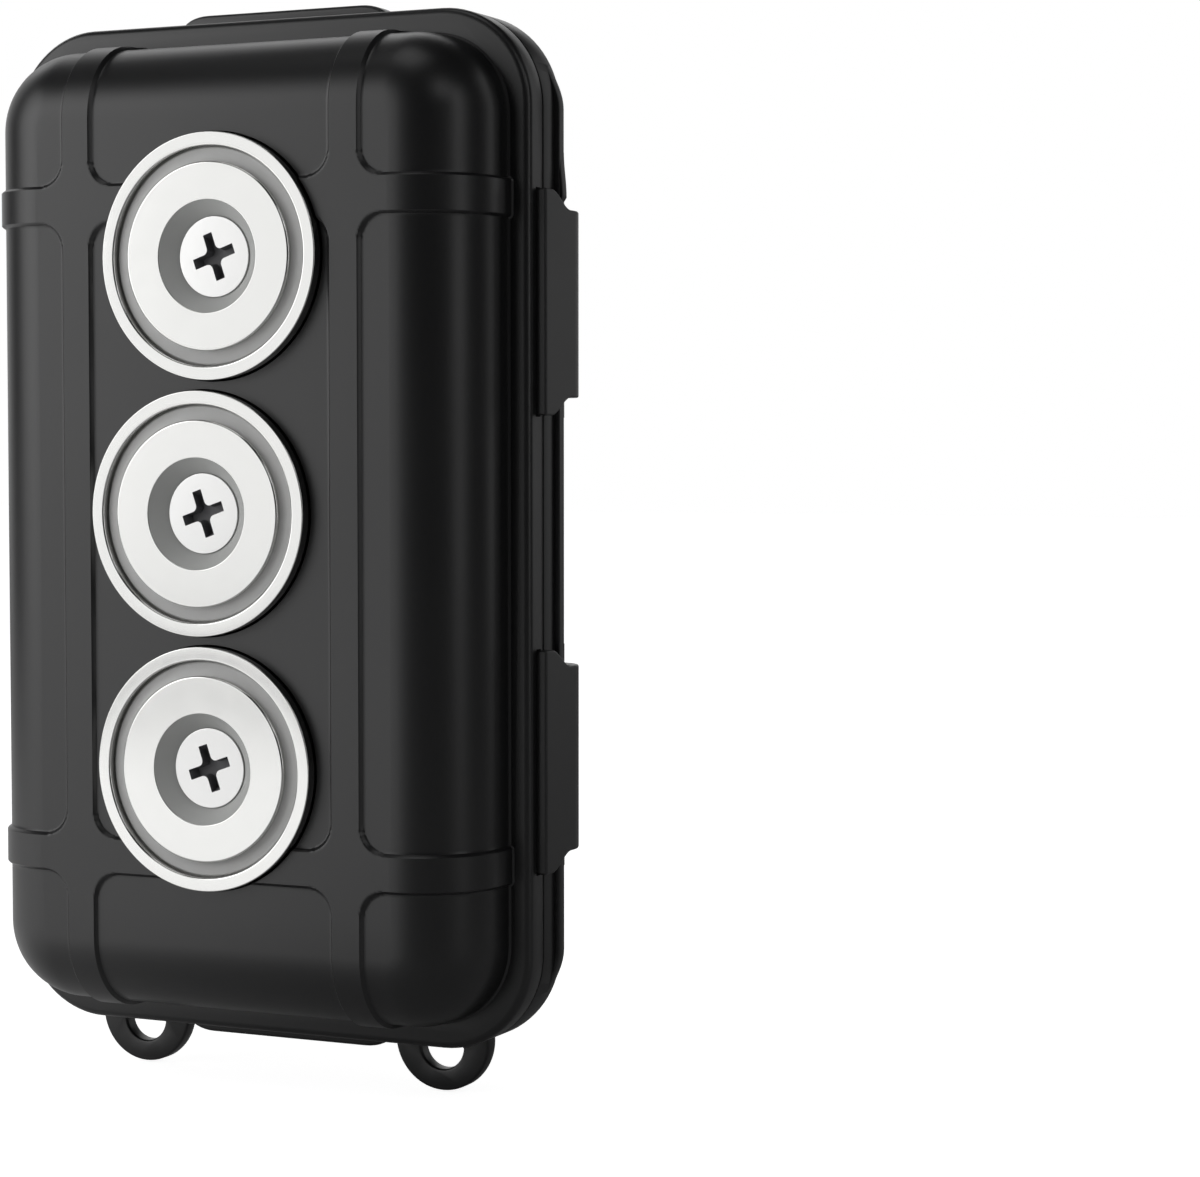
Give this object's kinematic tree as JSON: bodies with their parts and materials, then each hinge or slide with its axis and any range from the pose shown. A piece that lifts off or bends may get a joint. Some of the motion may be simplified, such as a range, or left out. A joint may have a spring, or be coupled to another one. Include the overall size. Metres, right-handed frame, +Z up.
{
  "type": "magnetic key holder box",
  "caption": "Sealed plastic key box with countersunk pot magnets screwed to its back, a hinged lid with a gasket, side latches and lanyard loops.",
  "frame": {"origin": "in the plane of the three magnet faces, at the middle magnet's height and on the row's middle line", "axes": "+Z up along the box, lanyard loops at the bottom; +X from the hinge side to the latch side; +Y from the magnets into the box, so the magnets face -Y"},
  "size_m": [0.0856, 0.04, 0.1459],
  "materials": {
    "black_abs": "satin injection-moulded ABS",
    "black_nylon": "satin injection-moulded nylon",
    "silicone": "matt moulded silicone",
    "pin_steel": "drawn stainless wire",
    "nickel_steel": "bright nickel plate",
    "nickel_magnet": "bright nickel plate",
    "grey_resin": "cast epoxy",
    "screw_steel": "nickel-plated cold-headed steel",
    "black_rubber": "matt moulded rubber",
    "zinc_steel": "zinc plate"
  },
  "bodies": {
    "base": {"base_shell": "black_abs", "hinge_pin_upper": "pin_steel", "hinge_pin_lower": "pin_steel", "magnet_cup_top": "nickel_steel", "magnet_cup_middle": "nickel_steel", "magnet_cup_bottom": "nickel_steel", "magnet_ring_top": "nickel_magnet", "magnet_ring_middle": "nickel_magnet", "magnet_ring_bottom": "nickel_magnet", "resin_ring_top": "grey_resin", "resin_ring_middle": "grey_resin", "resin_ring_bottom": "grey_resin", "screw_top": "screw_steel", "screw_middle": "screw_steel", "screw_bottom": "screw_steel", "seal_washer_top": "black_rubber", "seal_washer_middle": "black_rubber", "seal_washer_bottom": "black_rubber", "steel_washer_top": "zinc_steel", "steel_washer_middle": "zinc_steel", "steel_washer_bottom": "zinc_steel", "nut_top": "zinc_steel", "nut_middle": "zinc_steel", "nut_bottom": "zinc_steel"},
    "lid": {"lid_shell": "black_abs", "gasket": "silicone", "latch_pin_upper": "pin_steel", "latch_pin_lower": "pin_steel"},
    "upper_latch": {"latch_upper": "black_nylon"},
    "lower_latch": {"latch_lower": "black_nylon"}
  },
  "joints": [
    {"name": "lid_hinge", "type": "hinge", "parent": "base", "child": "lid", "pos_m": [-0.042, 0.01932, -0.0025], "axis": [0, 0, 1], "range_deg": [0, 170]},
    {"name": "latch_upper_pivot", "type": "hinge", "parent": "lid", "child": "upper_latch", "pos_m": [0.0369, 0.02785, 0.0275], "axis": [0, 0, 1], "range_deg": [0, 115]},
    {"name": "latch_lower_pivot", "type": "hinge", "parent": "lid", "child": "lower_latch", "pos_m": [0.0369, 0.02785, -0.0325], "axis": [0, 0, 1], "range_deg": [0, 115]}
  ]
}
